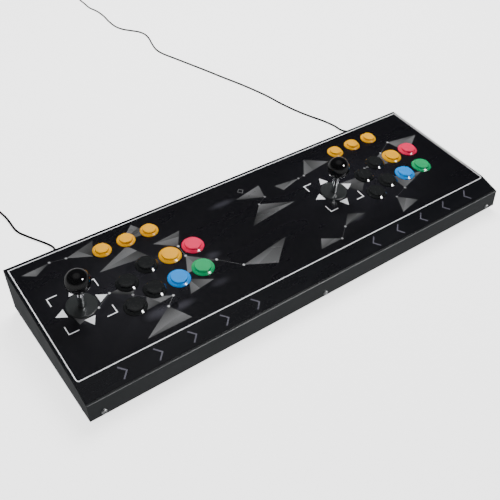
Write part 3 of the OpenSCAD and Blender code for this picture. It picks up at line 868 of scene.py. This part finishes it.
def loft(bm, sections, matrix):
    """Joins sections (distance, half width, half height, squareness) into one closed skin."""
    rings = []
    for s, w, h, power in sections:
        outline = rounded_section(w, h, power)
        rings.append([bm.verts.new(matrix @ Vector((x * MM, s * MM, z * MM))) for x, z in outline])
    for a, b in zip(rings, rings[1:]):
        for i in range(len(a)):
            j = (i + 1) % len(a)
            bm.faces.new((a[i], a[j], b[j], b[i]))
    bm.faces.new(rings[0])
    bm.faces.new(rings[-1])


def plug(side, tail, ahead):
    """Moulded plug: ringed tail, body with finger grooves, steel tongue with two windows."""
    turn = math.degrees(math.atan2(ahead.y, ahead.x)) - 90
    m = Matrix.Translation(tail) @ Matrix.Rotation(math.radians(turn), 4, "Z")
    body = [(0, 2.4, 2.4, 2)]
    for k in range(6):
        at = 1.6 + 2.6 * k
        r = 2.45 + 0.2 * k
        low = r - 0.45
        body += [(at, r, r, 2), (at + 1.3, r, r, 2), (at + 1.5, low, low, 2), (at + 2.3, low, low, 2)]
    body += [(17.4, 3.7, 3.7, 2.2), (18.4, 5.6, 3.6, 3), (19.6, 7.0, 3.75, 5), (21, 7.5, 3.85, 7)]
    for k in range(4):
        at = 24 + 2.6 * k
        body += [(at + step, w, 3.85, 7) for step, w in ((0, 7.55), (0.4, 7.15), (1.2, 7.15), (1.6, 7.55))]
    body += [(39.5, 7.7, 3.85, 7), (41.4, 7.6, 3.8, 7), (42, 7.2, 3.4, 7)]
    bm = bmesh.new()
    loft(bm, body, m)
    shell = from_bmesh(side + "_plug_body", bm, smooth_deg=40)
    finish_with(shell, "plug_plastic")
    bm = bmesh.new()
    sleeve = [(41.5, 6, 2.25), (55.7, 6, 2.25), (56, 5.9, 2.15), (56, 5.65, 1.9), (43, 5.65, 1.9)]
    loft(bm, [(*section, 14) for section in sleeve], m)
    loft(bm, [(43, 5.2, 0.9, 14), (54.6, 5.2, 0.9, 14)], m @ Matrix.Translation((0, 0, 0.9 * MM)))
    for x in (-2.9, 2.9):
        window = m @ Matrix.Translation((x * MM, 0, 2.26 * MM))
        loft(bm, [(48.5, 1.1, 0.08, 14), (50.7, 1.1, 0.08, 14)], window)
    tongue = from_bmesh(side + "_plug_tongue", bm, smooth_deg=40)
    tongue.data.materials.append(TONGUE)
    dark = len(tongue.data.materials)
    tongue.data.materials.append(MATERIAL["plug_plastic"])
    for poly in tongue.data.polygons:
        local = m.inverted() @ poly.center
        window = local.z > 2.24 * MM and 48 * MM < local.y < 51 * MM
        inner = abs(local.z) < 1.85 * MM and abs(local.x) < 5.3 * MM and local.y > 42.5 * MM
        poly.material_index = dark if window or inner else 0
    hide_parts(side + "_plug")
    return [shell, tongue]


def tie(side, wide, high, at_deg):
    """A strap round the coil's turns."""
    centre = LEADS[side][1]
    pitch = 4.06
    half_r, low, top = wide * pitch / 2 + 0.35, 0.08, 0.9 + high * pitch + 0.8
    mid = (low + top) / 2
    m = Matrix.Translation((*centre, 0)) @ Matrix.Rotation(math.radians(at_deg), 4, "Z")
    m = m @ Matrix.Translation((COIL_MID, 0, mid * MM))
    bm = bmesh.new()
    rows = []
    for y, grow in ((-6, -0.25), (-5.7, 0), (5.7, 0), (6, -0.25)):
        rows.append([bm.verts.new(m @ Vector((x * MM, y * MM, z * MM)))
                     for x, z in rounded_section(half_r + 0.7 + grow, (top - low) / 2 + grow, 5, 48)])
    for y in (6, -6):
        rows.append([bm.verts.new(m @ Vector((x * MM, y * MM, z * MM)))
                     for x, z in rounded_section(half_r, (top - low) / 2 - 0.7, 5, 48)])
    rows.append(rows[0])
    for a, b in zip(rows, rows[1:]):
        for i in range(len(a)):
            j = (i + 1) % len(a)
            bm.faces.new((a[i], a[j], b[j], b[i]))
    o = from_bmesh(side + "_tie", bm, smooth_deg=50)
    finish_with(o, "lead_jacket", STRAP)
    return o


for side, (cord, ahead) in leads.items():
    route, centre, wide, turns, way, last = LEADS[side]
    finish_with(cord, "lead_jacket")
    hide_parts(side + "_cord", side + "_coil")
    angle = math.radians(last)
    tail = Vector((*centre, PLUG_Z)) + Vector((math.cos(angle), math.sin(angle), 0)) * plug_radius(wide)
    on_it = [relief(side), *plug(side, tail, ahead), tie(side, wide, turns // wide + 1, last + 110)]
    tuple(route[0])


# ---------- floor and light ----------

# The world's grey at each height of a direction, from -1 (straight down) to 1 (straight up).
SKY = ((-0.55, 0.23), (-0.28, 0.42), (0.0, 0.42), (0.22, 0.012), (0.84, 0.012), (0.96, 0.30))
LIGHTS = (
    # name, place, size, power
    ("key", (1.035, -1.66, 1.54), 0.4, 60),
    ("back_fill", (0.8, 0.9, 2.1), 1.6, 92),
    ("left_fill", (-1.6, -0.2, 1.9), 1.6, 18),
)


def studio():
    """A pale floor that reflections don't show, a key light for the glints and two soft fills."""
    bm = bmesh.new()
    bmesh.ops.create_grid(bm, x_segments=1, y_segments=1, size=6)
    mesh = bpy.data.meshes.new("floor")
    bm.to_mesh(mesh)
    bm.free()
    floor = bpy.data.objects.new("floor", mesh)
    bpy.context.collection.objects.link(floor)
    p = Paint("floor")
    p.set(
        Base_Color=rgb(0.86, 0.86, 0.86), Roughness=0.8, Specular_IOR_Level=0.1,
        Emission_Color=rgb(1, 1, 1), Emission_Strength=2.2,
    )
    mesh.materials.append(p.made)
    floor.visible_glossy = False
    world = bpy.data.worlds.new("studio")
    world.use_nodes = True
    tree = world.node_tree
    height = tree.nodes.new("ShaderNodeSeparateXYZ")
    tree.links.new(tree.nodes.new("ShaderNodeTexCoord").outputs["Generated"], height.inputs[0])
    spread = tree.nodes.new("ShaderNodeMapRange")
    tree.links.new(height.outputs["Z"], spread.inputs["Value"])
    spread.inputs["From Min"].default_value = -1
    ramp = tree.nodes.new("ShaderNodeValToRGB")
    tree.links.new(spread.outputs["Result"], ramp.inputs["Fac"])
    for at, grey in SKY:
        stop = ramp.color_ramp.elements.new((at + 1) / 2)
        stop.color = (grey, grey, grey, 1)
    for end in (0, -1):
        ramp.color_ramp.elements.remove(ramp.color_ramp.elements[end])
    tree.links.new(ramp.outputs["Color"], tree.nodes["Background"].inputs["Color"])
    bpy.context.scene.world = world
    for name, place, size, power in LIGHTS:
        light = bpy.data.objects.new(name, bpy.data.lights.new(name, "AREA"))
        bpy.context.collection.objects.link(light)
        light.data.shape = "SQUARE"
        light.data.size = size
        light.data.energy = power
        light.visible_glossy = name == "key"
        light.visible_diffuse = name != "key"
        aim(light, place, (0, 0.1, 0))


studio()
